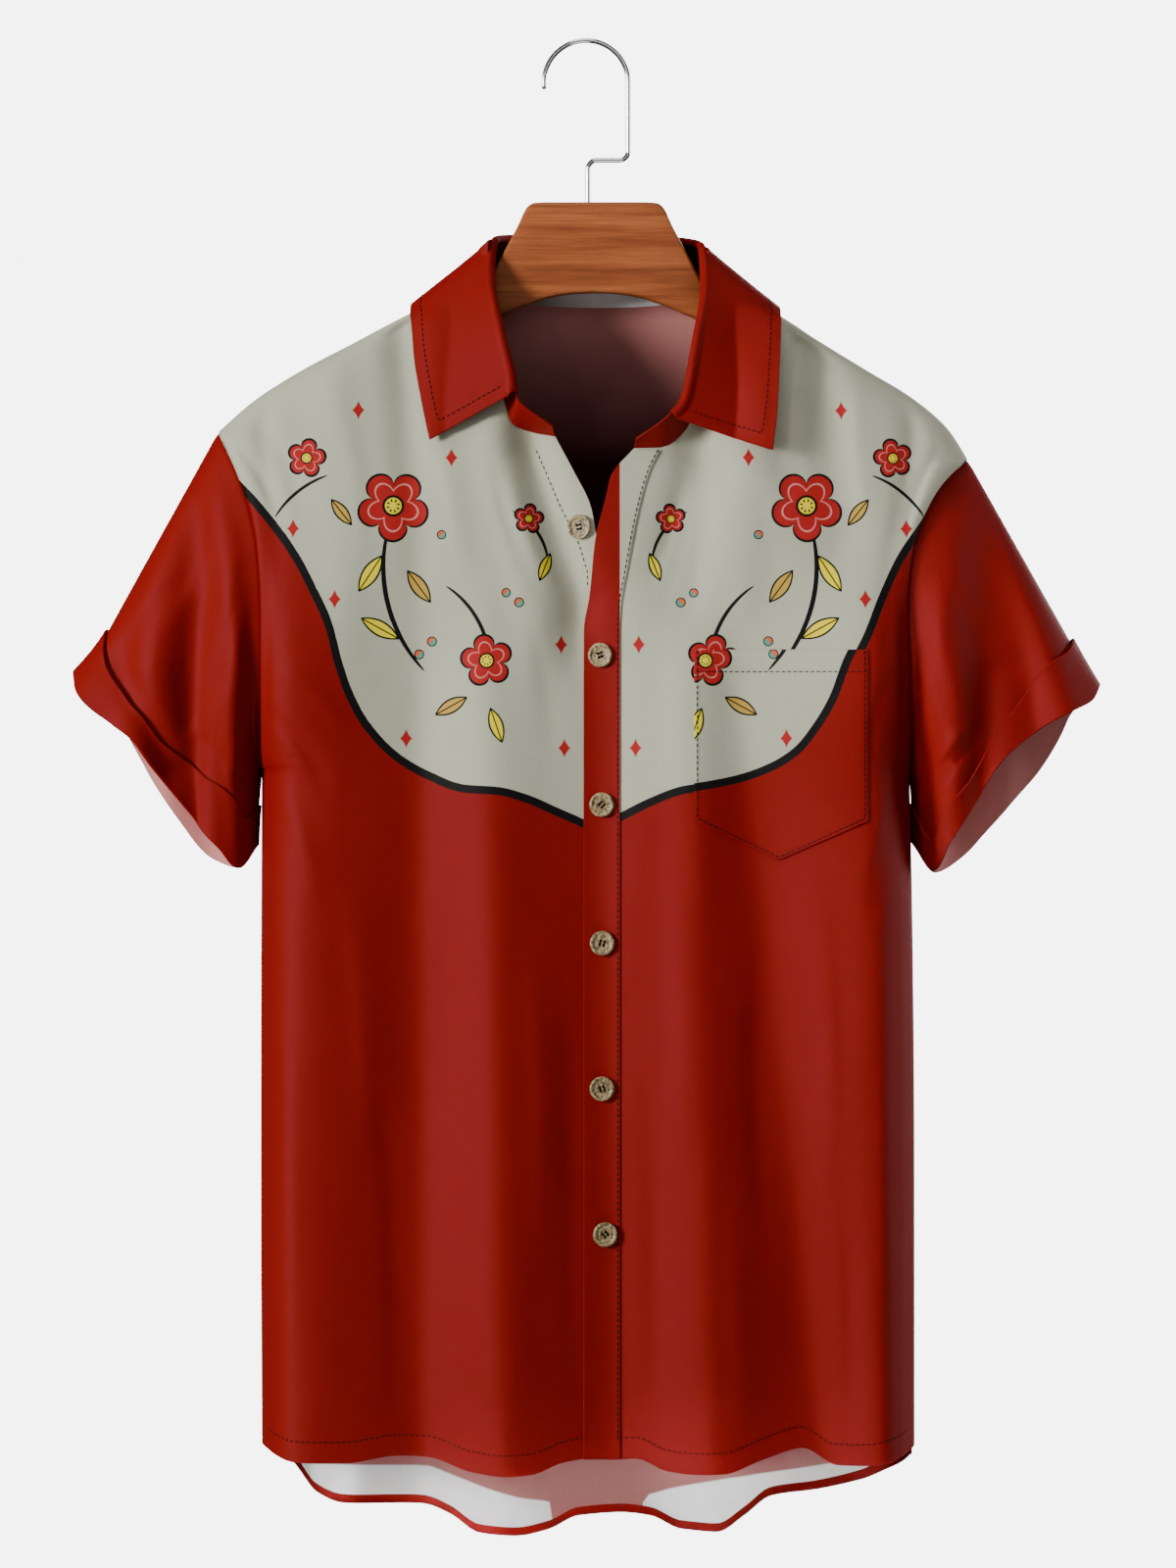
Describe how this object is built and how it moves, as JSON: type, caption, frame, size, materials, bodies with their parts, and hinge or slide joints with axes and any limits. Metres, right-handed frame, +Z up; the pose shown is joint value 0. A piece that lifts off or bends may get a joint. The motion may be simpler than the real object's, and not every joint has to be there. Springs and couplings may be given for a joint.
{
  "type": "western shirt on a wooden hanger",
  "caption": "Short-sleeved western shirt with a two-tone curved yoke, piping, patch pocket and turned-up cuffs, hanging on a wooden hanger with a wire hook.",
  "frame": {"origin": "the point inside the top of the wire hook that rests on a rail", "axes": "+Z up, +X to the wearer's left, -Y out of the chest; the hanger lies in the XZ plane"},
  "size_m": [0.641, 0.1432, 0.944],
  "materials": {
    "printed_cloth": "matt woven cloth, red below a curved yoke of stone grey",
    "red_cloth": "matt woven cloth",
    "hanger_wood": "satin varnish",
    "hook_wire": "bright plated wire",
    "button_horn": "mottled, dull shine"
  },
  "bodies": {
    "root": {"front_right": "printed_cloth", "front_left": "printed_cloth", "back": "printed_cloth", "pocket": "printed_cloth", "front_band": "red_cloth", "sleeve_right": "red_cloth", "sleeve_left": "red_cloth", "cuff_right": "red_cloth", "cuff_left": "red_cloth", "collar_stand": "red_cloth", "collar_leaf": "red_cloth", "hanger_body": "hanger_wood", "hanger_hook": "hook_wire", "button_1": "button_horn", "button_2": "button_horn", "button_3": "button_horn", "button_4": "button_horn", "button_5": "button_horn", "button_6": "button_horn"}
  },
  "joints": []
}
